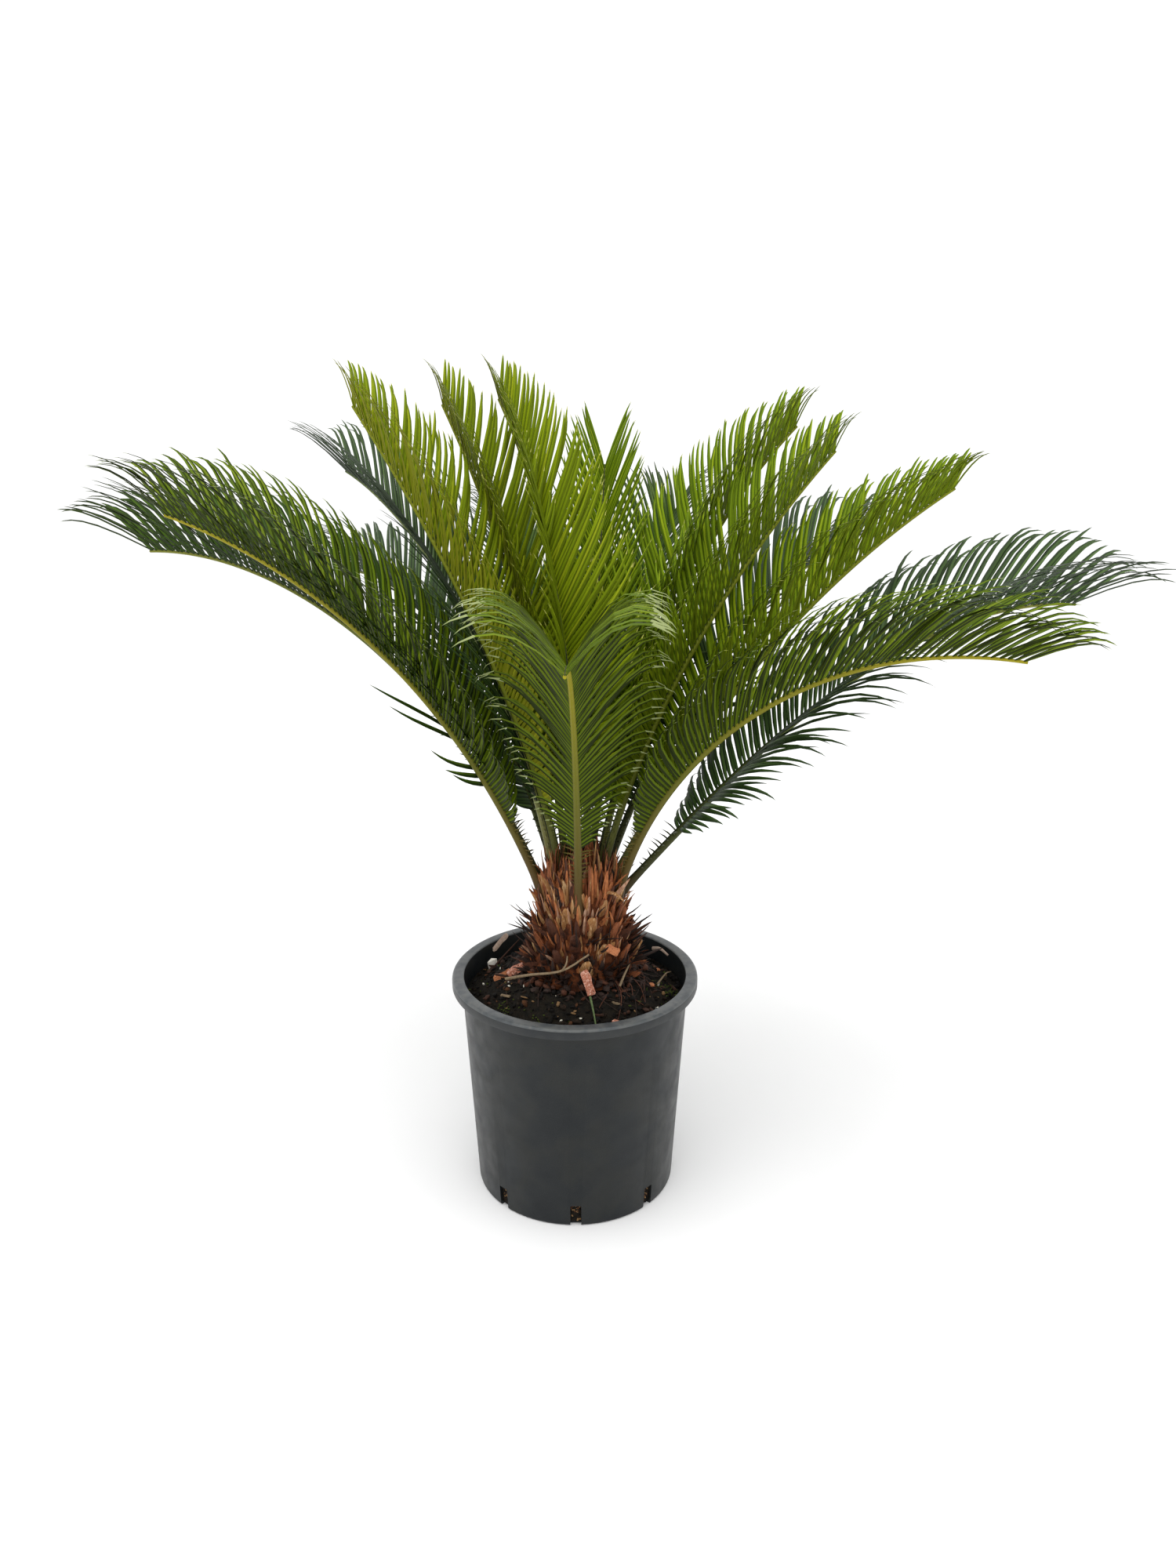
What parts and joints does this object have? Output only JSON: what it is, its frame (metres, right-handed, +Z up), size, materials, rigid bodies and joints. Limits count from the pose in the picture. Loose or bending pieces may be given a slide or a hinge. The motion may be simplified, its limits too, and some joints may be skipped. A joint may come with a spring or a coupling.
{
  "type": "potted sago palm",
  "caption": "Young sago palm with a squat scaly trunk and arching feather-like fronds, planted in a tapered dark grey nursery pot with drain slots at its foot.",
  "frame": {"origin": "centre of the pot's flat underside, where it stands on the floor", "axes": "+Z is up along the pot's axis, -Y is the front, which the frond that leans forward faces, and +X is to the right seen from the front"},
  "size_m": [1.0799, 0.8187, 0.7964],
  "materials": {
    "pot": "satin",
    "potting_mix": "matte",
    "trunk": "matte",
    "young_frond": "satin",
    "grown_frond": "satin",
    "old_frond": "satin"
  },
  "bodies": {
    "root": {"pot": "pot", "potting_mix": "potting_mix", "trunk": "trunk", "frond_upright_middle": "young_frond", "frond_front": "grown_frond", "frond_left_upper": "grown_frond", "frond_left_lower": "old_frond", "frond_left_back": "old_frond", "frond_rising_left": "young_frond", "frond_rising_left_inner": "young_frond", "frond_upright_left": "young_frond", "frond_rising_right_inner": "young_frond", "frond_rising_right": "young_frond", "frond_right_upper": "young_frond", "frond_right_middle": "grown_frond", "frond_right_lower": "old_frond", "frond_back_right": "old_frond", "frond_back_middle_right": "old_frond", "frond_back_middle_left": "old_frond", "frond_back_left": "old_frond"}
  },
  "joints": []
}
